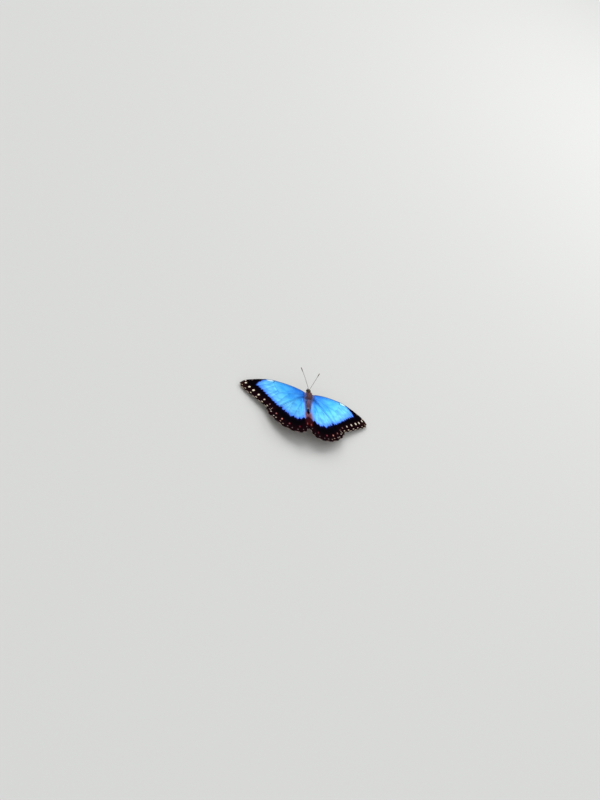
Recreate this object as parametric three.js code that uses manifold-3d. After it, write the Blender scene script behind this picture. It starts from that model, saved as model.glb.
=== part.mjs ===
// A blue morpho butterfly, adult and life size, basking with its wings spread and a little lowered.
// Millimetres, +Z up. The head points to -Y, the animal's left is +X, and its four walking feet
// stand on Z = 0. Each left piece is built once, and its right twin is the mirror image.
import * as THREE from "three";
import { mergeVertices } from "three/addons/utils/BufferGeometryUtils.js";
import Module from "manifold-3d";

const wasm = await Module();
wasm.setup();

// ---- Driving dimensions ----

const HINGE_HEIGHT = 12.5; // of the forewing roots above the floor
const MEMBRANE = 0.5; // thickness of each wing
const HINGE_OUT = 3.45; // of the wing roots from the midline

const FOREWING_DROOP = 0.164; // fall per millimetre outwards, which is 9.3 degrees
const HINDWING_DROP = 0.95; // of the hindwing below the forewing that overlaps it
const HINDWING_REAR_RISE = 1.45; // of its rear part, beyond the forewing
const GUTTER_DEPTH = 2.3; // of the hindwing's fold beside the abdomen
const GUTTER_REACH = 7.5; // from the midline to where that fold is level again
const MARGIN_CURL = 0.5; // by which the outer margins turn down
const SCALLOP = 0.75; // depth of each hollow between two vein ends
const CELLS = 7; // hollows along each outer margin

const THORAX = { front: 4.3, back: -4.5, halfWidth: 3.1, halfHeight: 3.6, lift: -1.2 };
const ABDOMEN = { front: -4.8, back: -15.7, halfWidth: 1.95, halfHeight: 2.2, lift: -1.3, tipLift: -2.7 };
const HEAD = { ahead: 6.5, lift: -1.9, size: [1.5, 1.3, 1.5] };
const EYE = { out: 1.45, ahead: 6.7, lift: -1.75, size: [0.85, 1.15, 1.3] };
const EYE_GAP = 0.12; // between an eye and its socket
const NECK = { lift: -1.65, front: 5.15, back: 4.55 };
const ANTENNA_LENGTH = 23;
const SHAFT_RADIUS = 0.26; // of the antennae, the thinnest pieces
const TOE_RADIUS = 0.26;
const FOOT_SINK = 0.1; // by which each foot is flattened where it rests
const SOLE = TOE_RADIUS - FOOT_SINK; // height of a toe's axis above the floor

// ---- Materials ----

const finish = (color, roughness, metalness = 0) =>
  new THREE.MeshStandardMaterial({ color, roughness, metalness });
const WING = finish(0x3d9bfa, 0.35, 0.4);
const FUR = finish(0x6a4c4e, 0.9);
const HORN = finish(0x2c1c18, 0.55);
const EYE_SHELL = finish(0x241611, 0.15);

// ---- Shape helpers ----

// A place by its distance out from the midline, ahead of the wing hinge and above the floor.
const place = (out, ahead, height) => new THREE.Vector3(out, -ahead, height);
// A curve through places given as [out, ahead, height].
const route = (...places) => new THREE.CatmullRomCurve3(places.map((p) => place(...p)));
// A flat outline through points given as [out, ahead].
const outline = (...points) => new THREE.SplineCurve(points.map((p) => new THREE.Vector2(...p)));
const smooth = THREE.MathUtils.smoothstep;

// The geometry with its shared corners merged, so that it is one closed surface.
function closed(geometry) {
  geometry.deleteAttribute("normal");
  geometry.deleteAttribute("uv");
  return mergeVertices(geometry, 1e-4);
}

// A closed tube along a curve. girth(t) gives its half width and half height from t = 0 to 1.
function swept(curve, girth, steps, sides) {
  const tube = new THREE.CylinderGeometry(1, 1, 1, sides, steps);
  const { normals, binormals } = curve.computeFrenetFrames(steps, false);
  const corners = tube.attributes.position;
  for (let i = 0; i < corners.count; i++) {
    const t = 0.5 - corners.getY(i);
    const step = Math.round(t * steps);
    const [halfWidth, halfHeight] = girth(t);
    const corner = curve
      .getPointAt(t)
      .addScaledVector(normals[step], corners.getX(i) * halfWidth)
      .addScaledVector(binormals[step], corners.getZ(i) * halfHeight);
    corners.setXYZ(i, corner.x, corner.y, corner.z);
  }
  return closed(tube);
}

// A round tube whose radius runs evenly through the listed values.
function limb(curve, radii, steps, sides) {
  const last = radii.length - 1;
  const radiusAt = (t) => {
    const i = Math.min(Math.floor(t * last), last - 1);
    return THREE.MathUtils.lerp(radii[i], radii[i + 1], t * last - i);
  };
  return swept(curve, (t) => [radiusAt(t), radiusAt(t)], steps, sides);
}

// Flattens whatever would reach below the floor, which leaves the small flats that it stands on.
function standing(geometry) {
  const corners = geometry.attributes.position;
  for (let i = 0; i < corners.count; i++) corners.setZ(i, Math.max(corners.getZ(i), 0));
  return geometry;
}

// An ellipsoid of three half sizes round a place.
function ellipsoid(out, ahead, height, size, sides, rings) {
  const ball = new THREE.SphereGeometry(1, sides, rings).scale(...size);
  return closed(ball.translate(out, -ahead, height));
}

function solidOf(geometry) {
  const vertProperties = new Float32Array(geometry.attributes.position.array);
  const triVerts = new Uint32Array(geometry.index.array);
  return new wasm.Manifold(new wasm.Mesh({ numProp: 3, vertProperties, triVerts }));
}

// What is left of a body after others are cut from it.
function cut(body, ...tools) {
  const left = tools.reduce((solid, tool) => solid.subtract(solidOf(tool)), solidOf(body));
  const { vertProperties, triVerts } = left.getMesh();
  const geometry = new THREE.BufferGeometry();
  geometry.setAttribute("position", new THREE.BufferAttribute(vertProperties, 3));
  return geometry.setIndex(new THREE.BufferAttribute(triVerts, 1));
}

// ---- Wings ----

// Outlines in millimetres out from the midline and ahead of the hinge. Each margin lists the vein
// ends from the wing's tip to its inner corner, and hollows run between them.
const FOREWING = {
  root: outline([HINGE_OUT, 1.3], [HINGE_OUT, -2.5]),
  front: outline(
    [HINGE_OUT, 1.3], [9, 4.1], [18, 6.7], [28, 8.2], [37, 8.7], [46, 6.9], [54, 4.5], [60.5, 1.8],
    [64.6, -2.2],
  ),
  rear: outline([HINGE_OUT, -2.5], [10, -6.6], [17, -12.2], [24, -18.2], [30, -23.8], [34.6, -27.9]),
  margin: outline(
    [64.6, -2.2], [63.5, -5.6], [59.8, -9.2], [54.6, -13.2], [49, -17.3], [43.2, -21.7], [38.4, -25.7],
    [34.6, -27.9],
  ),
};
const HINDWING = {
  root: outline([HINGE_OUT, -1.7], [2.75, -5.6]),
  front: outline(
    [HINGE_OUT, -1.7], [9, -2.9], [16, -6.2], [24, -12], [31.5, -18.6], [36.8, -22.6], [39.5, -26.2],
  ),
  rear: outline([2.75, -5.6], [2.6, -10.5], [1.9, -15.5], [1, -19.5], [0.3, -24.5], [0.2, -33], [0.6, -40.3]),
  margin: outline(
    [39.5, -26.2], [36.6, -32], [31.2, -38.7], [23.8, -43.9], [15.6, -46.9], [7.4, -47], [3, -44.4],
    [0.6, -40.3],
  ),
};

// The outer margin at v, hollowed between its vein ends.
function marginAt(curve, v) {
  const across = curve.getTangent(v);
  const hollow = SCALLOP * Math.sin(Math.PI * ((v * CELLS) % 1));
  return curve.getPoint(v).add(new THREE.Vector2(across.y, -across.x).multiplyScalar(hollow));
}

// A point of the flat wing: u runs from root to margin, v from the front edge to the rear one.
function acrossWing({ root, front, rear, margin }, u, v) {
  const between = new THREE.Vector2();
  between.addScaledVector(front.getPoint(u), 1 - v);
  between.addScaledVector(rear.getPoint(u), v);
  between.addScaledVector(root.getPoint(v), 1 - u);
  between.addScaledVector(marginAt(margin, v), u);
  between.addScaledVector(front.getPoint(0), -(1 - u) * (1 - v));
  between.addScaledVector(rear.getPoint(0), -(1 - u) * v);
  between.addScaledVector(front.getPoint(1), -u * (1 - v));
  between.addScaledVector(rear.getPoint(1), -u * v);
  return between;
}

function forewingHeight(out) {
  return HINGE_HEIGHT - FOREWING_DROOP * (out - HINGE_OUT);
}

// The hindwing passes under the forewing, rises a little to the rear and folds down by the abdomen.
function hindwingHeight(out, ahead) {
  const behind = -ahead;
  const beyondForewing = smooth(behind - 0.915 * out + 3.8, 0, 12) * smooth(behind, 18, 31);
  const besideAbdomen = smooth(behind, 0, 6) * (1 - smooth(behind, 14, 46));
  const fold = GUTTER_DEPTH * (1 - smooth(out, 0, GUTTER_REACH)) * besideAbdomen;
  return forewingHeight(out) - HINDWING_DROP + HINDWING_REAR_RISE * beyondForewing - fold;
}

// A slab bent into a wing: 4 rows to each hollow of the margin.
function wing(edges, heightAt) {
  const columns = 11;
  const slab = new THREE.BoxGeometry(1, 1, 1, columns, 4 * CELLS, 1);
  const corners = slab.attributes.position;
  for (let i = 0; i < corners.count; i++) {
    const u = corners.getX(i) + 0.5;
    const flat = acrossWing(edges, u, corners.getY(i) + 0.5);
    const height = heightAt(flat.x, flat.y) - MARGIN_CURL * u ** 6 + MEMBRANE * corners.getZ(i);
    corners.setXYZ(i, flat.x, -flat.y, height);
  }
  return closed(slab);
}

// ---- Body ----

// Rounded at both ends: 0 at t = 0 and 1, and 1 between them.
const bulge = (t, sharpness) => (1 - Math.abs(2 * t - 1) ** sharpness) ** (1 / sharpness);

function thorax() {
  const height = HINGE_HEIGHT + THORAX.lift;
  const spine = route(
    [0, THORAX.front, height - 0.4],
    [0, 0, height + 0.1],
    [0, THORAX.back, height - 0.1],
  );
  const girth = (t) => {
    const size = 0.12 + 0.88 * bulge(t, 2.3);
    return [THORAX.halfWidth * size, THORAX.halfHeight * size];
  };
  return swept(spine, girth, 12, 16);
}

// The abdomen's seven rings swell between shallow grooves.
function abdomen() {
  const rings = 7;
  const height = HINGE_HEIGHT + ABDOMEN.lift;
  const middle = (ABDOMEN.front + ABDOMEN.back) / 2;
  const spine = route(
    [0, ABDOMEN.front, height],
    [0, middle, height - 0.3],
    [0, ABDOMEN.back, HINGE_HEIGHT + ABDOMEN.tipLift],
  );
  const girth = (t) => {
    const taper = 0.66 + 0.34 * Math.sin(Math.PI * (0.15 + 0.6 * t));
    const waist = Math.min(1, 0.5 + 3.5 * t);
    const tip = Math.sqrt(1 - 0.93 * Math.max((t - 0.66) / 0.34, 0) ** 2.2);
    const size = taper * waist * tip * (1 - 0.03 * Math.cos(2 * Math.PI * rings * t));
    return [ABDOMEN.halfWidth * size, ABDOMEN.halfHeight * size];
  };
  return swept(spine, girth, 3 * rings, 14);
}

// The neck with its collar of scales, between head and thorax.
function prothorax() {
  const height = HINGE_HEIGHT + NECK.lift;
  return limb(route([0, NECK.front, height], [0, NECK.back, height]), [0.85, 1.2, 0.95], 4, 12);
}

const eye = (grown = 0) => {
  const size = EYE.size.map((half) => half + grown);
  return ellipsoid(EYE.out, EYE.ahead, HINGE_HEIGHT + EYE.lift, size, 12, 9);
};

// The head, with a socket on either side for each eye.
function head() {
  const skull = ellipsoid(0, HEAD.ahead, HINGE_HEIGHT + HEAD.lift, HEAD.size, 14, 10);
  const socket = eye(EYE_GAP);
  const opposite = socket.clone().scale(-1, 1, 1);
  // Mirroring turns the faces inwards, so each triangle is turned round.
  opposite.setIndex([...opposite.index.array].reverse());
  return cut(skull, socket, opposite);
}

// A palp: a short furry feeler that curves up before the face.
function palp() {
  const height = HINGE_HEIGHT + HEAD.lift;
  const curve = route(
    [0.5, 7.7, height - 1.75],
    [0.62, 8.5, height - 1.1],
    [0.7, 8.85, height + 0.2],
    [0.72, 8.6, height + 1.1],
  );
  return limb(curve, [0.3, 0.42, 0.4, 0.22], 6, 6);
}

// The tongue, a watch-spring coil under the face.
function proboscis() {
  const turns = 1.6;
  const inner = 0.42;
  const outer = 1.5;
  const centre = [7.1, HINGE_HEIGHT + HEAD.lift - 3.2];
  const coil = [];
  for (let i = 0; i <= 16; i++) {
    const t = i / 16;
    const angle = 2 * Math.PI * turns * t + 0.35 * Math.PI;
    const radius = inner + (outer - inner) * t;
    coil.push([0, centre[0] + radius * Math.sin(angle), centre[1] + radius * Math.cos(angle)]);
  }
  return limb(route(...coil), [0.25, 0.25], 22, 6);
}

// An antenna: a thin ringed shaft that leans out and up, and thickens slowly into its club.
function antenna() {
  const start = [0.62, 7.55, HINGE_HEIGHT + HEAD.lift + 1.35];
  const spread = 0.4; // radians from straight ahead
  const along = (part, rise) => [
    start[0] + Math.sin(spread) * ANTENNA_LENGTH * part,
    start[1] + Math.cos(spread) * ANTENNA_LENGTH * part,
    start[2] + rise,
  ];
  const curve = route(start, along(0.3, 1.5), along(0.65, 2.7), along(1, 3.1));
  return limb(curve, [SHAFT_RADIUS, SHAFT_RADIUS, SHAFT_RADIUS, 0.3, 0.46, 0.2], 16, 6);
}

// ---- Legs ----

// A leg from hip to toe: coxa, femur, tibia and the long foot that lies along the floor.
const LEG_RADII = [0.62, 0.5, 0.46, 0.48, 0.36, 0.3, 0.28, TOE_RADIUS, TOE_RADIUS];

function leg(hip, trochanter, knee, ankle, heel, toe) {
  const halfway = (a, b) => a.map((value, i) => (value + b[i]) / 2);
  const thigh = halfway(trochanter, knee);
  const shin = halfway(knee, ankle);
  return standing(limb(route(hip, trochanter, thigh, knee, shin, ankle, heel, toe), LEG_RADII, 20, 6));
}

function midleg() {
  const heel = [11.7, 6.9, SOLE];
  const toe = [12.9, 10.6, SOLE];
  return leg([1.5, 0.4, 7.6], [2.4, 1, 6.5], [8.2, 3.2, 8.3], [11.1, 5.4, 1.1], heel, toe);
}

function hindleg() {
  const heel = [9.1, -16.4, SOLE];
  const toe = [9.9, -20.9, SOLE];
  return leg([1.3, -2.3, 7.7], [2.1, -3.3, 6.6], [6.6, -8.6, 8], [8.8, -14.6, 1.1], heel, toe);
}

// The small brush-footed foreleg, folded against the breast.
function foreleg() {
  const curve = route([1, 3.7, 8.2], [1.6, 5.2, 7.2], [1.95, 5.6, 6.6], [2.1, 4.2, 6.3], [2.2, 2.6, 6.3]);
  return limb(curve, [0.4, 0.42, 0.36, 0.3], 10, 6);
}

// ---- Assembly ----

const butterfly = new THREE.Group();

function piece(name, geometry, material) {
  const mesh = new THREE.Mesh(geometry, material);
  mesh.name = name;
  butterfly.add(mesh);
  return mesh;
}

function pair(name, geometry, material) {
  piece(name + "_left", geometry, material);
  piece(name + "_right", geometry, material).scale.x = -1;
}

piece("head", head(), FUR);
piece("prothorax", prothorax(), FUR);
piece("thorax", thorax(), FUR);
piece("abdomen", abdomen(), FUR);
piece("proboscis", proboscis(), HORN);
pair("eye", eye(), EYE_SHELL);
pair("palp", palp(), FUR);
pair("antenna", antenna(), HORN);
pair("foreleg", foreleg(), HORN);
pair("midleg", midleg(), HORN);
pair("hindleg", hindleg(), HORN);
pair("forewing", wing(FOREWING, forewingHeight), WING);
pair("hindwing", wing(HINDWING, hindwingHeight), WING);

// The frame's origin is on the floor, under the middle of the whole animal.
const extent = new THREE.Box3().setFromObject(butterfly);
butterfly.position.y = -extent.getCenter(new THREE.Vector3()).y;

export default butterfly;
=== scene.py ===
"""The looks of a blue morpho butterfly that basks with its wings spread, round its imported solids.

Lengths are in millimetres until a mesh is made, which is in metres. A place on the animal is given
by its distance out from the midline, ahead of the forewing hinge and above the floor. Each left
piece is made once, and its right twin is its mirror image.
"""

from functools import partialmethod

import bpy
import numpy as np
from mathutils import Matrix, Vector


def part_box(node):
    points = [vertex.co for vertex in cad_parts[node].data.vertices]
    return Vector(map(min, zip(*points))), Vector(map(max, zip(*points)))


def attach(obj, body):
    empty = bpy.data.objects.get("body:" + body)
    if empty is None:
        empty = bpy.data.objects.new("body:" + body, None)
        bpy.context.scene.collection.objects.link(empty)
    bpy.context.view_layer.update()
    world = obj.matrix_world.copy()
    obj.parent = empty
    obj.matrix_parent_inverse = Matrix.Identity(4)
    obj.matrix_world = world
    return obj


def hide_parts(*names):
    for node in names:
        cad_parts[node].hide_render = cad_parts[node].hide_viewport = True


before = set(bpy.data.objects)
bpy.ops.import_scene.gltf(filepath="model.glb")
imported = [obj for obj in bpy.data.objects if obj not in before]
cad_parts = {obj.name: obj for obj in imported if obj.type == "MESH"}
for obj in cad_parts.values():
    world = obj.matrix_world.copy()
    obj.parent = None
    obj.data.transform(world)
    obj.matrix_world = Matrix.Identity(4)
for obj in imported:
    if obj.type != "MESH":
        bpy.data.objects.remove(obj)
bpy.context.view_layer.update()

MM = 0.001
RNG = np.random.default_rng(7)


# ---- The frame: where the solids are ----


def corners(node):
    """The lowest and highest corner of a solid, in millimetres."""
    low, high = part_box(node)
    return np.array(low) / MM, np.array(high) / MM


MEMBRANE = 0.5  # thickness of the solid wings
FORE_TORNUS = (34.6, -27.9)  # the forewing's rear corner, out and ahead
FORE_LOW, FORE_HIGH = corners("forewing_left")
HINGE_OUT = FORE_LOW[0]
HINGE_HEIGHT = FORE_HIGH[2] - MEMBRANE / 2
HINGE_Y = FORE_HIGH[1] + FORE_TORNUS[1]


def at(places):
    """Places given as out, ahead and height, in the row's frame."""
    out, ahead, height = np.moveaxis(np.asarray(places, float), -1, 0)
    return np.stack([out, HINGE_Y - ahead, height], -1)


# ---- Curves ----


def even(count):
    """Even steps from 0 to 1."""
    return np.linspace(0, 1, count)


def cubic(p1, p2, v1, v2, w):
    """The curve that leaves p1 along v1 and reaches p2 along v2, for w from 0 to 1."""
    bend = (2 * p1 - 2 * p2 + v1 + v2) * w**3
    return bend + (3 * p2 - 3 * p1 - 2 * v1 - v2) * w**2 + v1 * w + p1


def spline(points, t):
    """Points of the smooth curve through the listed ones, for t from 0 to 1."""
    points = np.asarray(points, float)
    last = len(points) - 1
    place = np.clip(np.asarray(t, float) * last, 0, last - 1e-9)
    index = place.astype(int)
    p0, p1, p2, p3 = (points[np.clip(index + k, 0, last)] for k in (-1, 0, 1, 2))
    return cubic(p1, p2, (p2 - p0) / 2, (p3 - p1) / 2, (place - index)[..., None])


def route(places, count):
    """Even steps along the smooth path through the listed places, and each one's share of the way.

    Unlike a spline, the path doesn't overshoot at its bends.
    """
    points = at(places)
    first, last = 2 * points[0] - points[1], 2 * points[-1] - points[-2]
    held = np.vstack([first, points, last])
    w = np.linspace(0, 1, 24, endpoint=False)[:, None]
    dense = []
    for p0, p1, p2, p3 in zip(held, held[1:], held[2:], held[3:]):
        d0, d1, d2 = (np.sqrt(np.linalg.norm(b - a)) for a, b in ((p0, p1), (p1, p2), (p2, p3)))
        v1 = d1 * ((p1 - p0) / d0 - (p2 - p0) / (d0 + d1) + (p2 - p1) / d1)
        v2 = d1 * ((p2 - p1) / d1 - (p3 - p1) / (d1 + d2) + (p3 - p2) / d2)
        dense.append(cubic(p1, p2, v1, v2, w))
    dense = np.vstack([*dense, points[-1]])
    length = np.concatenate([[0], np.cumsum(np.linalg.norm(np.diff(dense, axis=0), axis=1))])
    steps = np.linspace(0, length[-1], count)
    return np.stack([np.interp(steps, length, dense[:, k]) for k in range(3)], -1), even(count)


def smooth(value, low, high):
    """0 below low, 1 above high and smooth between them."""
    t = np.clip((value - low) / (high - low), 0, 1)
    return t * t * (3 - 2 * t)


def hump(value, middle, half):
    """1 where value is at middle, falling away like a bell on either side."""
    return np.exp(-(((value - middle) / half) ** 2))


def unit(vectors):
    return vectors / np.maximum(np.linalg.norm(vectors, axis=-1, keepdims=True), 1e-9)


def distance(points, lines):
    """How far each flat point is from the nearest of the lines, which are lists of points."""
    nearest = np.full(points.shape[:-1], 1e9)
    for line in lines:
        for a, b in zip(line[:-1], line[1:]):
            along = b - a
            t = np.clip(((points - a) @ along) / (along @ along), 0, 1)
            nearest = np.minimum(nearest, np.linalg.norm(points - a - t[..., None] * along, axis=-1))
    return nearest


def scattered(count):
    """Evenly scattered pairs of numbers from 0 to 1."""
    return (np.arange(count)[:, None] * (0.7548776662, 0.5698402910) + 0.5) % 1


def unwrapped(across, along):
    """Shares of the way across and along a skin, as a place on its flat map inside a thin margin."""
    return np.stack([0.02 + 0.96 * across, 0.02 + 0.96 * along], -1)


# ---- Meshes ----


def placed(name, data):
    """A new object in the scene."""
    thing = bpy.data.objects.new(name, data)
    bpy.context.scene.collection.objects.link(thing)
    return thing


class Shape:
    """Points and faces gathered part by part, with a value of every field at each point."""

    def __init__(self):
        self.places, self.faces, self.slots, self.fields, self.count = [], [], [], {}, 0

    def add(self, places, groups, slot=0, **fields):
        """Adds a part: its points, and its faces as arrays of their corners' numbers."""
        places = np.reshape(places, (-1, 3))
        for group in groups:
            group = np.asarray(group) + self.count
            self.faces += group.tolist()
            self.slots += [slot] * len(group)
        for field, values in fields.items():
            shape = (len(places),) + np.shape(values)[1:] if np.ndim(values) > 1 else len(places)
            self.fields.setdefault(field, []).append(np.broadcast_to(values, shape))
        self.places.append(places)
        self.count += len(places)

    def settle(self, name, materials, slot, *nodes, right=False):
        """Makes a smooth piece, or its mirror image on the animal's right.

        It rides on the animal's one body and stands for the solids named.
        """
        places, faces = np.concatenate(self.places) * MM, self.faces
        if right:
            places = places * (-1, 1, 1)
            faces = [face[::-1] for face in faces]
        mesh = bpy.data.meshes.new(name)
        mesh.from_pydata(places.tolist(), [], faces)
        for field, parts in self.fields.items():
            values = np.concatenate(parts)
            if field == "OFBake":
                uv = mesh.uv_layers.new(name=field)
                uv.data.foreach_set("uv", values[np.concatenate(faces)].ravel())
                continue
            kind, key = ("FLOAT", "value") if values.ndim == 1 else ("FLOAT_VECTOR", "vector")
            data = mesh.attributes.new(field, kind, "POINT").data
            data.foreach_set(key, values.ravel().astype(np.float32))
        for material in materials:
            mesh.materials.append(material)
        mesh.polygons.foreach_set("material_index", self.slots)
        mesh.polygons.foreach_set("use_smooth", [True] * len(faces))
        piece = placed(name, mesh)
        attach(piece, "root")
        if nodes:
            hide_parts(*nodes)

    def settle_pair(self, name, materials, slot, *nodes):
        for side in ("left", "right"):
            solids = [f"{node}_{side}" for node in nodes]
            self.settle(f"{name}_{side}", materials, slot, *solids, right=side == "right")


def sheet(index):
    """The four-cornered faces between points that are numbered in a grid."""
    a, b, c, d = index[:-1, :-1], index[1:, :-1], index[1:, 1:], index[:-1, 1:]
    return np.stack([a, b, c, d], -1).reshape(-1, 4)


def closed_tube(rows, columns):
    """The faces of a grid of points whose columns run round and meet, with a cap on either end."""
    index = np.arange(rows * columns).reshape(rows, columns)
    return [sheet(np.hstack([index, index[:, :1]])), index[:1], index[-1:, ::-1]]


def circle(sides):
    """The angles of the corners of a ring."""
    return np.linspace(0, 2 * np.pi, sides, endpoint=False)


def frames(path):
    """The direction along a path at each of its points, and two across it that never twist."""
    along = unit(np.gradient(path, axis=0))
    side = [unit(np.cross((0.1, 0.2, 1), along[0]))]
    for direction in along[1:]:
        side.append(unit(side[-1] - direction * (side[-1] @ direction)))
    side = np.array(side)
    return along, side, np.cross(along, side)


def tube(shape, path, widths, heights=None, sides=12, **fields):
    """Adds a closed tube along a path, with half its width and height at each step."""
    heights = widths if heights is None else heights
    _, side, rise = frames(path)
    turn = circle(sides)[:, None]
    ring = np.cos(turn) * side[:, None] * np.reshape(widths, (-1, 1, 1))
    ring = ring + np.sin(turn) * rise[:, None] * np.reshape(heights, (-1, 1, 1))
    faces = [group[:, ::-1] for group in closed_tube(len(path), sides)]
    spread = {name: np.repeat(np.broadcast_to(v, len(path)), sides) for name, v in fields.items()}
    shape.add(path[:, None] + ring, faces, **spread)


def ball(shape, centre, size, sides, rings, **fields):
    """Adds an ellipsoid of three half sizes, with its poles to the left and right."""
    t = np.linspace(0.02, 0.98, rings) * np.pi
    path = np.stack([np.cos(t), t * 0, t * 0], -1)
    turn = circle(sides)
    ring = np.stack([turn * 0, np.cos(turn), np.sin(turn)], -1)
    places = path[:, None] + ring * np.sin(t)[:, None, None]
    shape.add(centre + places * size, closed_tube(rings, sides), **fields)


HAIR_ROOT_DEPTH = 0.06
HAIR_FLATNESS = 0.55
HAIR_TAPER = 0.45
HAIR_PATCH = 0.0015  # half a hair's width on the flat map


def tufts(roots, normals, lies, lengths, widths, stand, rest, unwrap, bends=2, **fields):
    """Tapered, three-sided hairs that leave the skin at one angle and bend down to another."""
    count = len(roots)
    lies = unit(lies - normals * np.sum(lies * normals, -1, keepdims=True))
    side = np.cross(normals, lies)
    middle = [roots - normals * HAIR_ROOT_DEPTH]
    turn = np.radians([90, 210, 330])
    points = []
    for bend in range(bends):
        taper = 1 - HAIR_TAPER * bend / bends
        for angle in turn:
            reach = side * np.cos(angle) + normals * np.sin(angle) * HAIR_FLATNESS
            points.append(middle[bend] + reach * (np.broadcast_to(widths, count) * taper)[:, None])
        slope = stand + (rest - stand) * bend / max(bends - 1, 1)
        slope = np.broadcast_to(slope, count)[:, None]
        step = lies * np.cos(slope) + normals * np.sin(slope)
        middle.append(middle[-1] + step * (lengths / bends)[:, None])
    points = np.stack([*points, middle[-1]], 1)
    tip = 3 * bends
    edges = [(k, (k + 1) % 3) for k in range(3)]
    quads = [(a + i, b + i, b + i + 3, a + i + 3) for i in range(0, tip - 3, 3) for a, b in edges]
    ends = [(a + tip - 3, b + tip - 3, tip) for a, b in edges] + [(2, 1, 0)]
    start = np.arange(count)[:, None, None] * (tip + 1)
    groups = [(start + np.array(faces)).reshape(-1, len(faces[0])) for faces in (quads, ends)]
    level = np.append(np.repeat(np.arange(bends) / bends, 3), 1.0)
    patch = np.stack([np.cos(np.tile(turn, bends)), np.sin(np.tile(turn, bends))], -1)
    patch = np.vstack([patch, (0, 0)]) * HAIR_PATCH * (1 - level)[:, None]
    spread = {name: np.repeat(np.broadcast_to(v, count), tip + 1) for name, v in fields.items()}
    uv = (unwrap[:, None] + patch).reshape(-1, 2)
    shape = Shape()
    shape.add(points, groups, OFBake=uv, hair=np.tile(level, count), **spread)
    return shape


def turned(direction, aside, angle):
    """A direction turned by an angle towards another that lies across it."""
    return direction * np.cos(angle) + aside * np.sin(angle)


def swayed(lies, normals, spread):
    """The lies, each turned a little at random round its normal."""
    return turned(lies, np.cross(normals, lies), RNG.normal(0, spread, len(lies))[:, None])


# ---- Paint ----


def rgb(red, green, blue):
    """A colour from its 0 to 255 screen values, as the light it stands for."""
    values = np.array([red, green, blue]) / 255
    linear = np.where(values < 0.04045, values / 12.92, ((values + 0.055) / 1.055) ** 2.4)
    return (*linear.tolist(), 1.0)


class Value:
    """What a node of a paint gives. Arithmetic with it adds more nodes."""

    def __init__(self, paint, socket):
        self.paint, self.socket = paint, socket

    def math(self, operation, *others):
        inputs = dict(enumerate((self, *others)))
        return self.paint.node("Math", inputs, operation=operation)

    __add__ = partialmethod(math, "ADD")
    __sub__ = partialmethod(math, "SUBTRACT")
    __rsub__ = partialmethod(math, "MULTIPLY_ADD", -1.0)
    __mul__ = partialmethod(math, "MULTIPLY")
    __abs__ = partialmethod(math, "ABSOLUTE")

    def step(self, low, high):
        """0 where this is at low and 1 where it is at high, smooth between; low may be the higher."""
        inputs = {"Value": self, "From Min": low, "From Max": high}
        return self.paint.node("MapRange", inputs, interpolation_type="SMOOTHSTEP")

    def band(self, middle, half):
        """1 where this is at middle, falling to 0 at half on either side."""
        return abs(self - middle).step(half, half * 0.4)


class Paint:
    """A node material, built by short calls that each add one node and return what it gives."""

    def __init__(self, name, **settings):
        self.material = bpy.data.materials.new(name)
        self.material.use_nodes = True
        self.tree = self.material.node_tree
        self.shader = self.tree.nodes["Principled BSDF"]
        for socket, value in settings.items():
            self.into(socket, value)

    def connect(self, socket, value):
        if isinstance(value, Value):
            self.tree.links.new(value.socket, socket)
        else:
            socket.default_value = value

    def into(self, socket, value):
        self.connect(self.shader.inputs[socket.replace("_", " ")], value)

    def node(self, kind, inputs, output=0, **settings):
        node = self.tree.nodes.new("ShaderNode" + kind)
        for setting, value in settings.items():
            setattr(node, setting, value)
        for socket, value in inputs.items():
            self.connect(node.inputs[socket], value)
        return Value(self, node.outputs[output])

    def field(self, name, output="Fac"):
        return self.node("Attribute", {}, output, attribute_name=name)

    def mix(self, share, under, over):
        factor, colour_a, colour_b, result = 0, 6, 7, 2  # the node's sockets for colours
        inputs = {factor: share, colour_a: under, colour_b: over}
        return self.node("Mix", inputs, result, data_type="RGBA")

    def layers(self, colour, *layers):
        """The colour with others laid over it in turn, each by its own share."""
        for share, over in layers:
            colour = self.mix(share, colour, over)
        return colour

    def ramp(self, value, *stops):
        colour = self.node("ValToRGB", {"Fac": value})
        elements = colour.socket.node.color_ramp.elements
        while len(elements) < len(stops):
            elements.new(0.5)
        for element, (position, tone) in zip(elements, stops):
            element.position = position
            element.color = tone
        return colour

    def noise(self, vector, scale, detail, roughness=0.55, stretch=None):
        if stretch:
            vector = self.node("Mapping", {"Vector": vector, "Scale": stretch})
        inputs = {"Vector": vector, "Scale": scale, "Detail": detail, "Roughness": roughness}
        return self.node("TexNoise", inputs, "Fac")

    def ovals(self, place, ovals):
        """The distance from the nearest of some ovals' middles, which is 1 on their edges.

        Each oval is its middle's two coordinates, its two half sizes and its turn in radians.
        """
        nearest = None
        for x, y, half_x, half_y, turn in ovals:
            inputs = {"Location": (x, y, 0), "Rotation": (0, 0, turn), "Scale": (half_x, half_y, 1)}
            inside = self.node("Mapping", {"Vector": place, **inputs}, vector_type="TEXTURE")
            off = self.node("VectorMath", {0: inside}, "Value", operation="LENGTH")
            nearest = nearest.math("MINIMUM", off) if nearest else off
        return nearest

    def bump(self, height, strength, depth):
        inputs = {"Height": height, "Strength": strength, "Distance": depth * MM}
        self.into("Normal", self.node("Bump", inputs))

    def finish(self, colour):
        """The material, in the colour given."""
        self.into("Base Color", colour)
        return self.material


# ---- Wings ----

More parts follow.
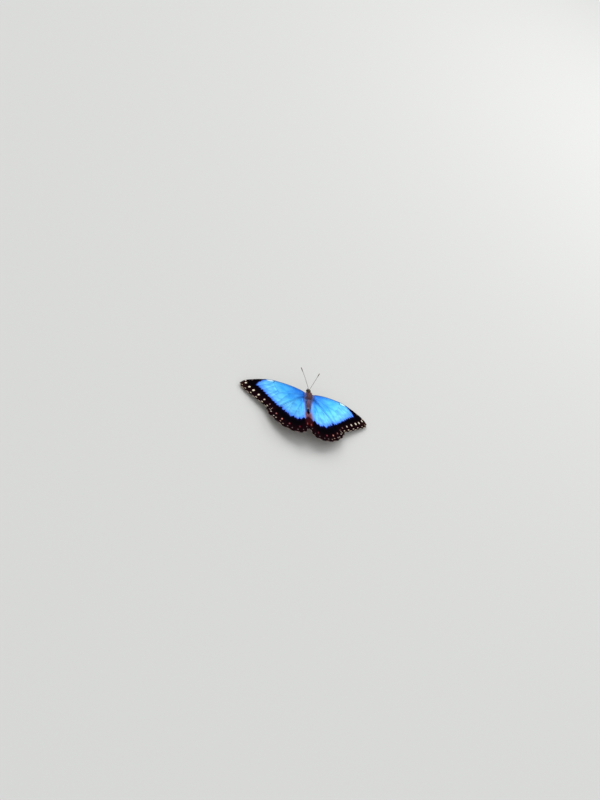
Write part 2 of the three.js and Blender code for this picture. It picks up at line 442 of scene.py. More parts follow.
CELLS = 7  # hollows along each outer margin, between the vein ends
SCALLOP = 0.75
FOREWING_DROOP = 0.164
HINDWING_DROP = 0.95
HINDWING_REAR_RISE = 1.45
GUTTER_DEPTH = 2.3
GUTTER_REACH = 7.5
GUTTER_FOLD = 2.6  # how far the hindwing's inner edge folds down
MARGIN_CURL = 0.5
MARGIN_WAVE = 0.09
PLEAT_HALF_WIDTH = 1.2
SKIN_HALF, VEIN_RIB, FRONT_RIB = 0.05, 0.05, 0.08  # a wing's half thickness, and what ribs add
BLUE_TEETH = 1.1  # how far the blue runs out into the black between the veins
STUB_REACH = 0.03  # how far u runs on inwards along the stub at a wing's root
GRAIN_ALONG, GRAIN_ACROSS = 60, 40  # the length that the grain takes u and v for

# Edges and veins run from the wing's root outwards. The outer margin runs through the ends of the
# last veins, from the wing's tip to its rear corner. Spots and marks are given as: share of the way
# to the margin, share of the way from the front edge to the rear one, and half sizes along and
# across the veins.
FOREWING = {
    "name": "forewing",
    "front": [
        (HINGE_OUT, 1.3), (9, 4.1), (18, 6.7), (28, 8.2), (37, 8.7), (46, 6.9), (54, 4.5), (60.5, 1.8),
        (64.6, -2.2),
    ],
    "rear": [(HINGE_OUT, -2.5), (10, -6.6), (17, -12.2), (24, -18.2), (30, -23.8), FORE_TORNUS],
    "veins": [
        [(3.7, 1.1), (12, 4.2), (22, 6.3), (30, 7.3), (35, 8.5)],
        [(3.7, 0.8), (12, 3.2), (22, 4.9), (33, 5.5)],
        [(24, 5.1), (33, 6.9), (42, 7.9)],
        [(31, 5.4), (40, 6.3), (49, 6)],
        [(33, 5.5), (42, 4.9), (50, 4.3), (57, 3.3)],
        [(3.7, -0.6), (12, -2.2), (21, -3.8), (28.6, -4.7)],
        [(33, 5.5), (32.4, 2.2), (30.4, -2.6), (28.6, -4.7)],
        [(42, 4.9), (54, 2), (64.6, -2.2)],
        [(38, 5.2), (50, 0.8), (58, -2.9), (63.5, -5.6)],
        [(33, 5.5), (44, 0.4), (53.6, -6), (59.8, -9.2)],
        [(32.4, 2.2), (41, -3.6), (49.4, -10.1), (54.6, -13.2)],
        [(30.2, -3.2), (37, -8.6), (44.3, -14), (49, -17.3)],
        [(28.6, -4.7), (34, -11), (39.2, -18.2), (43.2, -21.7)],
        [(18.5, -3.4), (25, -11), (33.6, -21.6), (38.4, -25.7)],
        [(3.8, -1.6), (10, -5.2), (17, -10.4), (24, -16.4), (30.4, -22.8), FORE_TORNUS],
    ],
    "blue_end": [
        (0, 0.59), (0.1, 0.62), (0.15, 0.665), (0.22, 0.712), (0.32, 0.702), (0.48, 0.702),
        (0.62, 0.715), (1, 0.715),
    ],
    "length": 60,
    "lift": -0.12,
    "stub": (-1.1, -0.35),
    "seat": -0.34,
    "pleat": 0.14,
    "spots": [
        (0.862, 0.03, 0.7, 0.42), (0.87, 0.12, 1.05, 0.75), (0.868, 0.27, 1.2, 0.85),
        (0.87, 0.385, 1.25, 0.9), (0.87, 0.52, 1.15, 0.8), (0.87, 0.66, 0.95, 0.7),
        (0.862, 0.8, 0.8, 0.5), (0.9, 0.925, 0.5, 0.35),
    ],
    "marks": [
        (0.952, 0.13, 0.3, 0.5), (0.96, 0.26, 0.35, 0.75), (0.957, 0.405, 0.4, 0.95),
        (0.962, 0.54, 0.42, 1.05), (0.958, 0.675, 0.42, 1.0), (0.95, 0.8, 0.4, 0.9),
        (0.95, 0.93, 0.3, 0.45),
    ],
    "eyespots": [(50.5, 0.9, 2.3), (46.5, -5.6, 1.7), (38.6, -13.2, 2.9)],
}
HINDWING = {
    "name": "hindwing",
    "front": [
        (HINGE_OUT, -1.7), (9, -2.9), (16, -6.2), (24, -12), (31.5, -18.6), (36.8, -22.6),
        (39.5, -26.2),
    ],
    "rear": [
        (2.75, -5.6), (2.6, -10.5), (1.9, -15.5), (1, -19.5), (0.3, -24.5), (0.2, -33), (0.6, -40.3),
    ],
    "veins": [
        [(3.9, -4.4), (7.8, -12.2), (10.2, -17.5)],
        [(4, -2.6), (14, -6.8), (26, -15), (39.5, -26.2)],
        [(4, -3.2), (12, -8.5), (24, -19.6), (36.6, -32)],
        [(13, -9.4), (22, -23), (31.2, -38.7)],
        [(15, -12.4), (20.5, -30), (23.8, -43.9)],
        [(10.2, -17.5), (15.2, -32), (15.6, -46.9)],
        [(10.2, -17.5), (9.6, -34), (7.4, -47)],
        [(7.8, -12.2), (5.4, -30), (3, -44.4)],
        [(2.9, -5), (2.8, -12), (2.8, -17), (3.3, -22), (3.3, -28), (2.4, -34), (0.6, -40.3)],
    ],
    "blue_end": [
        (0, 0.61), (0.16, 0.61), (0.32, 0.635), (0.45, 0.675), (0.55, 0.67), (0.645, 0.69),
        (0.7, 0.66), (0.735, 0.645), (0.79, 0.668), (0.85, 0.685), (0.94, 0.757), (1, 0.8),
    ],
    "length": 45,
    "lift": 0.15,
    "stub": (-2.2, 0.3),
    "seat": 0.3,
    "pleat": 0.09,
    "spots": [
        (0.791, 0.11, 0.5, 0.4), (0.842, 0.228, 0.75, 0.6), (0.868, 0.358, 0.85, 0.7),
        (0.874, 0.496, 0.8, 0.65), (0.872, 0.672, 0.8, 0.6), (0.845, 0.925, 1.4, 0.6),
    ],
    "marks": [
        (0.918, 0.054, 0.35, 0.65), (0.89, 0.131, 0.4, 0.75), (0.945, 0.212, 0.4, 0.7),
        (0.932, 0.264, 0.42, 0.75), (0.938, 0.348, 0.38, 0.65), (0.945, 0.402, 0.38, 0.7),
        (0.945, 0.478, 0.35, 0.6), (0.933, 0.555, 0.35, 0.6), (0.942, 0.648, 0.35, 0.6),
        (0.935, 0.76, 0.32, 0.55), (0.885, 0.864, 0.4, 0.55),
    ],
    "eyespots": [(28.5, -23.5, 3.2), (20.4, -33.4, 2.0), (14.2, -36.2, 2.4), (8.2, -36.8, 2.2)],
}


def hollow_at(v):
    """1 in the middle of each hollow of the margin, and 0 at the vein ends between them."""
    return np.sin(np.pi * ((v * CELLS) % 1))


def margin_at(edges, v):
    """The outer margin at v, hollowed between its vein ends."""
    margin = [vein[-1] for vein in edges["veins"][-CELLS - 1:]]
    step = 1e-4
    before, after = (spline(margin, np.clip(v + s, 0, 1)) for s in (-step, step))
    along = unit(after - before)
    inward = np.stack([along[..., 1], -along[..., 0]], -1)
    return spline(margin, v) + inward * SCALLOP * hollow_at(v)[..., None]


def across_wing(edges, u, v):
    """Flat points of the wing: u runs from root to margin, v from the front edge to the rear one."""
    u, v = np.broadcast_arrays(np.asarray(u, float), np.asarray(v, float))
    front, rear = (lambda t, side=side: spline(edges[side], t) for side in ("front", "rear"))
    root = [edges["front"][0], edges["rear"][0]]
    start, end = np.zeros_like(u), np.ones_like(u)
    u1, v1 = u[..., None], v[..., None]
    between = (1 - v1) * front(u) + v1 * rear(u)
    between += (1 - u1) * spline(root, v) + u1 * margin_at(edges, v)
    between -= (1 - u1) * ((1 - v1) * front(start) + v1 * rear(start))
    return between - u1 * ((1 - v1) * front(end) + v1 * rear(end))


def wing_height(edges, flat):
    """The height of a wing's middle. A hindwing rises to the rear and folds down by the abdomen."""
    out, behind = flat[..., 0], -flat[..., 1]
    height = HINGE_HEIGHT - FOREWING_DROOP * (out - HINGE_OUT) + edges["lift"]
    if edges is HINDWING:
        behind_forewing = behind - 0.915 * out + 3.8  # its rear edge is a slanting line
        free = smooth(behind_forewing, 0, 12) * smooth(behind, 18, 31)
        beside_abdomen = smooth(behind, 0, 6) * (1 - smooth(behind, 14, 46))
        fold = GUTTER_DEPTH * (1 - smooth(out, 0, GUTTER_REACH)) * beside_abdomen
        height += HINDWING_REAR_RISE * free - HINDWING_DROP - fold
    return height


def wing_surface(edges, u, v):
    """Where the wing's middle is, with its pleats: the points and their distances from a vein."""
    flat = across_wing(edges, u, v)
    vein = distance(flat, [spline(line, even(20)) for line in edges["veins"]])
    height = wing_height(edges, flat) - MARGIN_CURL * u**6
    height += edges["pleat"] * hump(vein, 0, PLEAT_HALF_WIDTH) * smooth(u, 0.05, 0.3)
    height += MARGIN_WAVE * np.sin(2 * np.pi * v * CELLS) * smooth(u, 0.7, 1)
    # Where the wings overlap, the forewing's rear edge and the hindwing's front one come together.
    overlap = smooth(v, 0.72, 1.0) if edges is FOREWING else smooth(v, 0.42, 0.12)
    height += edges["seat"] * overlap * smooth(u, 1.0, 0.85)
    return np.dstack([flat, height]), vein


def on_wing(edges, u, v):
    """Points of the wing's middle, in the row's frame."""
    return at(wing_surface(edges, u[None], v[None])[0][0])


def wing_fields(edges, u, v, flat, vein):
    """What the paint goes by. Distances are in millimetres, and negative before a line is reached."""
    blue_end = np.interp(v, *np.transpose(edges["blue_end"]))
    teeth = hump(vein, 0, 0.5) - np.abs(np.sin(2 * np.pi * v * CELLS)) ** 0.8
    front, rear = (
        distance(flat, [spline(edges[side], even(60))]) for side in ("front", "rear")
    )
    rear_vein = spline(edges["veins"][-1], even(40))
    return {
        "reach": u,
        "share": u / blue_end,
        "past_blue": (u - blue_end) * edges["length"] + BLUE_TEETH * teeth,
        "cell": v * CELLS,
        "vein": vein,
        "rim": distance(flat, [margin_at(edges, even(211))]),
        "costa": front - 0.35 - 1.6 * smooth(u, 0.5, 0.72),
        "front": front,
        "rear": rear,
        "deep": u * 0,
        "fold": np.interp(-flat[..., 1], -rear_vein[:, 1], rear_vein[:, 0]) - flat[..., 0],
        "flow": np.dstack([u * GRAIN_ALONG, v * GRAIN_ACROSS, u * 0]),
        "flat": np.dstack([flat, u * 0]),
    }


def with_stub(edges, places, half, fields, steps=6):
    """Leads the wing's root into the thorax by a fleshy stub."""
    inward = np.linspace(1, 1 / steps, steps)[:, None, None]
    root = places[:1]
    spread = (root - root.mean(1, keepdims=True)) * (0, 0.15, 0)
    stub = root + inward * ((*edges["stub"], 0) + spread)
    fields = {name: np.concatenate([values[:1]] * steps + [values]) for name, values in fields.items()}
    fields["reach"][:steps] -= STUB_REACH * inward[..., 0]
    thick = half[:1] + 0.3 * inward[..., 0] ** 2
    return np.concatenate([stub, places]), np.concatenate([thick, half]), fields


def widened(values, steps):
    """Values over the wing, carried on past its rear edge."""
    return np.concatenate([values, np.repeat(values[:, -1:], steps, 1)], 1)


def with_gutter(places, half, fields, steps=9):
    """Folds a hindwing's inner edge down and in under the abdomen, where it meets the other one's."""
    inward = (np.arange(1, steps + 1) / steps)[None, :, None]
    rear = places[:, -1:]
    stays = smooth(fields["reach"][:, -1:, None], 1.0, 0.86)
    gap = rear[..., :1] + 0.02
    deep = smooth(rear[..., :1], 0.1, 1.6) * stays
    fold = rear - np.concatenate([gap * inward, gap * 0 * inward, GUTTER_FOLD * deep * inward**1.3], -1)
    fields = {name: widened(values, steps) for name, values in fields.items()}
    fields["fold"][:, -steps:] += (gap * inward)[..., 0]
    fields["deep"][:, -steps:] += (deep * inward)[..., 0]
    return np.concatenate([places, fold], 1), widened(half, steps), fields


def wing(edges, columns=170, rows=22 * CELLS):
    """A thin shell: an upper and an under sheet that meet round the edge, with ribs along the veins."""
    u, v = np.meshgrid(even(columns + 1), even(rows + 1), indexing="ij")
    places, vein = wing_surface(edges, u, v)
    fields = wing_fields(edges, u, v, places[..., :2], vein)
    half = SKIN_HALF + VEIN_RIB * hump(vein, 0, 0.2) + FRONT_RIB * hump(fields["front"], 0, 0.25)
    places, half, fields = with_stub(edges, places, half, fields)
    if edges is HINDWING:
        places, half, fields = with_gutter(places, half, fields)
    flat_fields = {n: values.reshape(half.size, -1).squeeze() for n, values in fields.items()}
    lift = np.dstack([half * 0, half * 0, half])
    index = np.arange(half.size).reshape(half.shape)
    ring = np.concatenate([index[:-1, 0], index[-1, :-1], index[:0:-1, -1], index[0, :0:-1]])
    after = np.roll(ring, -1)
    rim = np.stack([ring, ring + half.size, after + half.size, after], -1)
    shape = Shape()
    shape.add(at(places + lift), [sheet(index), rim], slot=0, **flat_fields)
    shape.add(at(places - lift), [sheet(index)[:, ::-1]], slot=1, **flat_fields)
    paints = [upper_paint(edges), under_paint(edges)]
    shape.settle_pair(f"{edges['name']}_scales", paints, "wing", edges["name"])


def ovals_on(edges, kind):
    """The wing's spots or marks, as ovals in millimetres whose long way follows the veins."""
    ovals = []
    for u, v, along, across in edges[kind]:
        middle, further = across_wing(edges, [u, u + 0.01], [v, v])
        turn = np.arctan2(*(further - middle)[::-1])
        ovals.append((*middle.tolist(), along, across, float(turn)))
    return ovals


BLACK = rgb(6, 3, 7)
SOOT = rgb(40, 12, 17)
BLUE_ROOT = rgb(18, 108, 216)
BLUE_MIDDLE = rgb(66, 176, 250)
BLUE_OUTER = rgb(112, 205, 252)
BLUE_EDGE = rgb(74, 124, 238)
INDIGO = rgb(14, 16, 64)
MAROON = rgb(52, 14, 20)
CREAM = rgb(240, 230, 206)


def upper_paint(edges):
    """The wing from above: shining blue, then a black border with spots and a row of marginal marks."""
    fore = edges is FOREWING
    paint = Paint(edges["name"] + "_upper", Specular_IOR_Level=0.01)
    names = ("share", "past_blue", "cell", "vein", "rim", "reach", "costa", "fold", "deep", "rear")
    share, past, cell, vein, rim, reach, costa, fold, deep, rear = map(paint.field, names)
    flow, flat = (paint.field(name, "Vector") for name in ("flow", "flat"))
    streaks = paint.noise(flow, 1.0, 4.0, 0.6, stretch=(0.12, 2.2, 1))
    patches, grain = paint.noise(flow, 0.12, 2.0), paint.noise(flow, 7.0, 2.0)
    past = past + (streaks - 0.5) * 4.0
    root_end, middle_start = (0.2, 0.55) if fore else (0.13, 0.43)
    blue = paint.ramp(
        share, (0, rgb(14, 84, 192)), (root_end, BLUE_ROOT), (middle_start, BLUE_MIDDLE),
        (0.86, BLUE_OUTER), (1.0, BLUE_EDGE),
    )
    rays = streaks.step(0.56, 0.36) * reach.step(0.36, 0.06) * (0.55 if fore else 0.35)
    blue = paint.layers(
        blue,
        (streaks.step(0.3, 0.75) * 0.4, BLUE_OUTER),
        (patches.step(0.6, 0.35) * 0.35, BLUE_ROOT),
        (vein.step(0.28, 0.12) * 0.34, rgb(10, 44, 130)),
        (rays, rgb(6, 66, 190)),
        (past.step(-1.8, -0.1), BLUE_EDGE),
    )
    dark = paint.mix(rim.step(9, 3) * grain.step(0.35, 0.75), BLACK, SOOT)
    dark = paint.mix(past.step(2.2, 0.2), dark, INDIGO)
    is_blue = past.step(0.35, -0.35) * reach.step(-0.004, 0.004)
    place = cell * (1 / CELLS)
    if fore:
        is_blue = is_blue * costa.step(-0.25, 0.2)
        blue = paint.layers(
            blue,
            (costa.step(2.0, 0.0) * 0.4, rgb(16, 92, 196)),
            # Darker blue along the forewing's rear edge away from the root: partly its rear vein, partly
            # painted shade where the edge lies over the hindwing.
            (rear.step(0.5, 0.2) * reach.step(0.26, 0.4) * 0.75, rgb(10, 60, 134)),
        )
        dark = paint.layers(
            dark,
            (cell.step(2.4, 0.4) * rim.step(6.0, 1.0) * 0.7, rgb(56, 28, 22)),
            (reach.step(0.5, 0.3) * 0.6, rgb(56, 74, 122)),
        )
        halo, tone = rgb(44, 13, 12), rgb(214, 198, 172)
        heart = paint.mix(cell.step(4.1, 5.4), CREAM, rgb(150, 112, 114))
        streak, white, notch = (
            paint.ovals(flat, [oval])
            for oval in (
                (53.2, 4.0, 1.1, 0.4, -0.45), (37.0, 7.6, 3.3, 0.9, -0.04), (33.3, 6.8, 0.45, 1.2, 0.3),
            )
        )
        front_marks = [
            (streak.step(1.3, 0.6), rgb(128, 104, 104)),
            (white.step(1.2, 0.7) * costa.step(-0.25, 0.1), rgb(196, 222, 236)),
            (notch.step(1.3, 0.6), rgb(14, 30, 74)),
        ]
    else:
        is_blue = is_blue * fold.step(0.5, -0.6)
        lilac = paint.mix(streaks, rgb(92, 128, 226), rgb(140, 168, 250))
        mauve = paint.mix(streaks, rgb(132, 84, 104), rgb(184, 128, 150))
        pleat = paint.layers(lilac, (reach.step(0.36, 0.54), mauve), (reach.step(0.6, 0.73), MAROON))
        # Painted shadow: a near-black oval on the fold, in the hollow behind the abdomen's tip between
        # the two hindwings.
        hollow = paint.ovals(flat, [(1.15, -18.3, 0.9, 3.9, -0.17)])
        blue = paint.mix(fold.step(-3.0, 0.2) * 0.9, blue, lilac)
        dark = paint.layers(
            dark,
            (fold.step(-0.6, 0.5) * past.step(0.5, -1.5), pleat),
            (fold.step(-2.0, 0.0) * reach.step(0.62, 0.74) * rim.step(3.5, 7.0), MAROON),
            # Painted shade: darker blue where the hindwing's inner edge folds down under the abdomen.
            (deep.step(0.2, 0.9) * 0.45, rgb(48, 54, 122)),
            # Painted shadow in that hollow.
            (hollow.step(1.15, 0.6), rgb(8, 5, 16)),
        )
        halo = rgb(50, 9, 13)
        heart = paint.ramp(
            place, (0.12, rgb(112, 70, 62)), (0.23, rgb(184, 118, 114)), (0.36, rgb(214, 142, 126)),
            (0.5, rgb(134, 66, 78)), (0.67, rgb(98, 42, 54)), (0.9, rgb(150, 62, 50)),
        )
        tone = paint.ramp(
            place, (0.2, rgb(206, 192, 180)), (0.34, rgb(178, 150, 132)), (0.5, rgb(132, 114, 114)),
            (0.8, rgb(116, 100, 100)),
        )
        front_marks = []
    rough = (grain - 0.5) * 0.5
    spots, marks = (paint.ovals(flat, ovals_on(edges, kind)) + rough for kind in ("spots", "marks"))
    colour = paint.layers(
        dark,
        (is_blue, blue),
        (reach.step(0.0, -0.008), rgb(66, 58, 82)),
        (spots.step(2.3, 1.2), halo),
        (spots.step(1.1, 0.85), heart),
        (marks.step(1.25, 0.7), tone),
        *front_marks,
    )
    paint.into("Metallic", is_blue * 0.6)
    paint.into("Roughness", 0.85 - is_blue * 0.47)
    paint.bump(grain + streaks * 1.5, 0.5, 0.05)
    return paint.finish(colour)


def under_paint(edges):
    """The wing from below: brown and barked, with eyespots, a pale band and lines along the margin."""
    paint = Paint(edges["name"] + "_under", Roughness=0.75, Specular_IOR_Level=0.2)
    cell, vein, rim, reach = map(paint.field, ("cell", "vein", "rim", "reach"))
    flow, flat = (paint.field(name, "Vector") for name in ("flow", "flat"))
    mottle = paint.noise(flow, 0.9, 4.0, 0.65, stretch=(1.4, 0.5, 1))
    place = reach + (paint.noise(flow, 0.16, 2.0) - 0.5) * 0.12
    colour = paint.mix(mottle.step(0.3, 0.7), rgb(58, 38, 30), rgb(104, 76, 56))
    colour = paint.mix(vein.step(0.5, 0.15) * 0.6, colour, rgb(132, 98, 70))
    for middle, half, shade in ((0.2, 0.022, 0.7), (0.34, 0.026, 0.8), (0.54, 0.016, 1.0)):
        line = place.band(middle, half) * shade
        if middle < 0.5:
            line = line * cell.step(4.2 if edges is FOREWING else 5.5, 3.0)
        edge = place.band(middle + half * 1.4, half) * shade
        colour = paint.layers(colour, (line, rgb(190, 168, 128)), (edge, rgb(98, 44, 28)))
    for middle, half, tone in (
        (0.8, 0.35, rgb(206, 190, 156)), (1.7, 0.4, rgb(150, 74, 44)), (2.6, 0.3, rgb(188, 166, 122)),
    ):
        colour = paint.mix(rim.band(middle, half), colour, tone)
    eyes = paint.ovals(flat, [(x, y, size, size, 0.0) for x, y, size in edges["eyespots"]])
    rings = paint.ramp(
        eyes, (0, rgb(236, 238, 240)), (0.1, rgb(120, 124, 136)), (0.17, BLACK), (0.5, BLACK),
        (0.55, rgb(206, 158, 72)), (0.72, rgb(190, 136, 60)), (0.77, rgb(50, 28, 20)),
        (0.9, rgb(168, 144, 108)),
    )
    paint.bump(paint.noise(flow, 7.0, 2.0), 0.4, 0.05)
    return paint.finish(paint.mix(eyes.step(1.02, 0.94), colour, rings))


def fringe(edges, count=660):
    """The fringe of scales along a wing's outer margin: dark at the vein ends and pale between them."""
    v = np.linspace(0.006, 0.994, count) + RNG.normal(0, 0.0006, count)
    step = 1e-3
    u = np.full(count, 0.997)
    before, root, after = (on_wing(edges, u, np.clip(v + s, 0, 1)) for s in (-step, 0, step))
    along = unit(after - before)
    outward = unit(np.cross(along, (0.0, 0.0, 1.0)))
    normal = np.cross(outward, along)
    hollow = hollow_at(v)
    lengths = (0.45 + 0.35 * hollow) * RNG.uniform(0.8, 1.15, count)
    unwrap = np.stack([v * 0.96 + 0.02, 0.3 + 0.4 * RNG.random(count)], -1)
    shape = tufts(
        root + normal * RNG.uniform(-0.05, 0.05, (count, 1)), normal, swayed(outward, normal, 0.12),
        lengths, 0.075, 0.0, -0.15, unwrap, pale=smooth(hollow, 0.55, 0.85), shade=RNG.random(count),
    )
    paint = Paint(edges["name"] + "_fringe_paint", Roughness=0.8, Specular_IOR_Level=0.2)
    tone = rgb(206, 188, 172) if edges is FOREWING else rgb(172, 146, 138)
    colour = paint.mix(paint.field("pale"), rgb(30, 16, 18), tone)
    shape.settle_pair(edges["name"] + "_fringe", [paint.finish(colour)], "wing")


# ---- Body ----

HEAD_AHEAD = 6.5
HEAD_HEIGHT = HINGE_HEIGHT - 1.9
ABDOMEN_FRONT = -4.6
ABDOMEN_LENGTH = 10.9
WAIST_OVERLAP = 0.4  # how far the abdomen's front runs on into the thorax
RINGS = 7
LOCK_LENGTH = 0.5  # of the locks of fur that lean alike
HEAD_HALF_LENGTH = 1.15
EYE_LOW, EYE_HIGH = corners("eye_left")
EYE_MIDDLE, EYE_SIZE = (EYE_LOW + EYE_HIGH) / 2, (EYE_HIGH - EYE_LOW) / 2
# The height of the body's middle, at places along it.
BACKBONE = [
    (-15.6, 9.85), (-13, 10.4), (-10, 10.85), (-6, 11.15), (-3, 11.3), (0, 11.45), (2.5, 11.25),
    (4.5, 10.9), (5.6, 10.65), (7.8, 10.6),
]
# Fur along the body: station, length, half width, and the slopes at which it leaves the skin and
# lies at its tip.
FUR = [
    (-15.6, 0.5, 0.037, 0.35, 0.1), (-5.2, 0.5, 0.037, 0.25, 0.02), (-4.4, 1.2, 0.031, 0.35, 0.05),
    (-1, 1.7, 0.028, 0.3, 0.0), (2.6, 1.6, 0.028, 0.42, 0.02), (4.2, 1.2, 0.028, 0.55, 0.1),
    (5.2, 0.6, 0.026, 0.6, 0.2), (6.6, 0.5, 0.024, 0.7, 0.35), (7.7, 0.6, 0.024, 0.85, 0.6),
]


def rounded(station, middle, half_length, sharpness=2.0):
    """1 at the middle of a stretch of the body, falling to 0 at its two ends."""
    off = np.minimum(np.abs((station - middle) / half_length), 1)
    return (1 - off**sharpness) ** (1 / sharpness)


def abdomen_girth(station):
    """The abdomen's share of its full girth: slim at the waist, swollen between its rings' grooves."""
    t = np.clip((ABDOMEN_FRONT - station) / ABDOMEN_LENGTH, 0, 1)
    taper = 0.66 + 0.34 * np.sin(np.pi * (0.15 + 0.6 * t))
    waist = np.minimum(1, 0.42 + 3.2 * t)
    tip = np.sqrt(1 - np.maximum((t - 0.66) / 0.34, 0) ** 2.2)
    groove = np.abs((t * RINGS) % 1 - 0.5) * 2
    ring = 1 - 0.07 * smooth(groove, 0.72, 1.0) * smooth(t, 0.05, 0.12)
    return taper * waist * tip * ring * (station <= ABDOMEN_FRONT + WAIST_OVERLAP)


def girth(station):
    """Half the body's width and height, and its middle's height."""
    parts = (  # half width, half height and shape of the head, neck, thorax and abdomen
        (1.2, 1.28, rounded(station, HEAD_AHEAD, HEAD_HALF_LENGTH)),
        (0.85, 0.95, rounded(station, 4.9, 1.7)),
        (2.6, 3.1, rounded(station, -0.1, 4.4, 2.3)),
        (1.8, 1.95, abdomen_girth(station)),
    )
    blend = 7
    half_width = sum((size * share) ** blend for size, _, share in parts) ** (1 / blend)
    half_height = sum((size * share) ** blend for _, size, share in parts) ** (1 / blend)
    stations, heights = np.transpose(BACKBONE)
    middle = sum(np.interp(station + step, stations, heights) for step in (-0.5, 0.5)) / 2
    return half_width, half_height, middle


def body_surface(station, turn):
    """A point of the skin. turn runs from the belly, 0, up the left side, 0.25, to the back, 0.5."""
    half_width, half_height, middle = girth(station)
    angle = 2 * np.pi * turn
    out, height = half_width * np.sin(angle), middle - half_height * np.cos(angle)
    return at(np.stack([out, station + 0 * turn, height], -1))


def body_frame(station, turn):
    """The skin's point, its outward direction and its direction towards the tail."""
    step = 1e-3
    tail = unit(body_surface(station - step, turn) - body_surface(station + step, turn))
    round_body = unit(body_surface(station, turn + step) - body_surface(station, turn - step))
    return body_surface(station, turn), unit(np.cross(tail, round_body)), tail


def skin(stations=260, sides=72):
    """One skin for head, neck, thorax and abdomen."""
    nose, tail = HEAD_AHEAD + HEAD_HALF_LENGTH - 0.01, ABDOMEN_FRONT - ABDOMEN_LENGTH + 0.02
    t = even(stations)
    station = nose + (tail - nose) * (t - 0.012 * np.sin(4 * np.pi * t))
    station, turn = np.meshgrid(station, np.arange(sides) / sides, indexing="ij")
    fields = {"station": station, "turn": turn, "pale": pale_patches(station, turn)}
    flat = {name: values.ravel() for name, values in fields.items()}
    shape = Shape()
    shape.add(body_surface(station, turn), closed_tube(stations, sides), hair=0.3, shade=0.5, **flat)
    shape.settle("skin", [fur_paint("skin_paint")], "fur", "head", "prothorax", "thorax", "abdomen")


def pale_patches(station, turn):
    """Where the coat is pale: behind the eyes, on the collar and along each side."""
    from_back = np.abs(2 * turn - 1)
    side = 1 - np.abs(from_back * 2 - 1)  # 0 at back and belly, 1 at the sides
    behind_eye = hump(station, 5.55, 0.22) * smooth(side, 0.35, 0.7)
    dots = hump(station, 4.95, 0.25) * smooth(from_back, 0.3, 0.12) * smooth(from_back, 0.03, 0.1)
    line = smooth(side, 0.8, 0.95) * smooth(station, -4.5, -5.2) * (from_back > 0.5)
    return np.clip(behind_eye + 0.7 * dots + 0.45 * line, 0, 1)


def fur_paint(name):
    """Brown and mauve fur, with the same markings on the skin and on the coat over it, and painted light:
    a highlight along the thorax's ridge and shade at the hairs' roots.
    """
    paint = Paint(name, Roughness=0.62, Specular_IOR_Level=0.25)
    fields = ("station", "turn", "hair", "shade", "pale")
    station, turn, hair, shade, pale = map(paint.field, fields)
    t = (station + 16.0) * (1 / 24)  # 0 behind the tail and 1 before the head
    back = paint.ramp(
        t, (0.05, rgb(136, 104, 118)), (0.056, rgb(250, 244, 248)), (0.069, rgb(250, 244, 248)),
        (0.079, rgb(150, 114, 136)), (0.2, rgb(156, 118, 146)), (0.44, rgb(182, 150, 184)),
        (0.5, rgb(160, 118, 138)), (0.66, rgb(168, 118, 118)), (0.84, rgb(166, 120, 112)),
        (0.92, rgb(140, 136, 76)),
    )
    belly = paint.ramp(t, (0.0, rgb(128, 104, 84)), (0.5, rgb(112, 88, 70)), (1.0, rgb(96, 74, 56)))
    from_back = abs(turn - 0.5)
    # Painted highlight: a lighter pink stripe along the top of the thorax, standing in for light on its
    # ridge.
    painted_ridge_highlight = from_back.step(0.085, 0.01) * station.step(-5.0, -2.0)
    ring = ((ABDOMEN_FRONT - station) * (RINGS / ABDOMEN_LENGTH)).math("FRACT")
    groove = abs(ring - 0.5).step(0.33, 0.48) * station.step(-4.9, -5.4)
    colour = paint.layers(
        back,
        (painted_ridge_highlight * 0.35, rgb(214, 164, 168)),
        (from_back.step(0.24, 0.36), belly),
        (groove * 0.55, rgb(48, 32, 44)),
        (pale, rgb(196, 178, 152)),
    )
    # Painted shade: each hair darkens towards its root, where the fur shades itself. The darker copy and
    # a lighter copy of the colour also make random locks look shaded or lit, a painted sheen.
    dark = paint.mix(0.55, colour, rgb(26, 15, 20))
    colour = paint.mix(hair.step(-0.3, 0.9), dark, colour)
    light = paint.mix(0.35, colour, rgb(190, 166, 160))
    sheen = (shade.step(0.55, 1.0) * 0.8, light), (shade.step(0.4, 0.0) * 0.6, dark)
    return paint.finish(paint.layers(colour, *sheen))


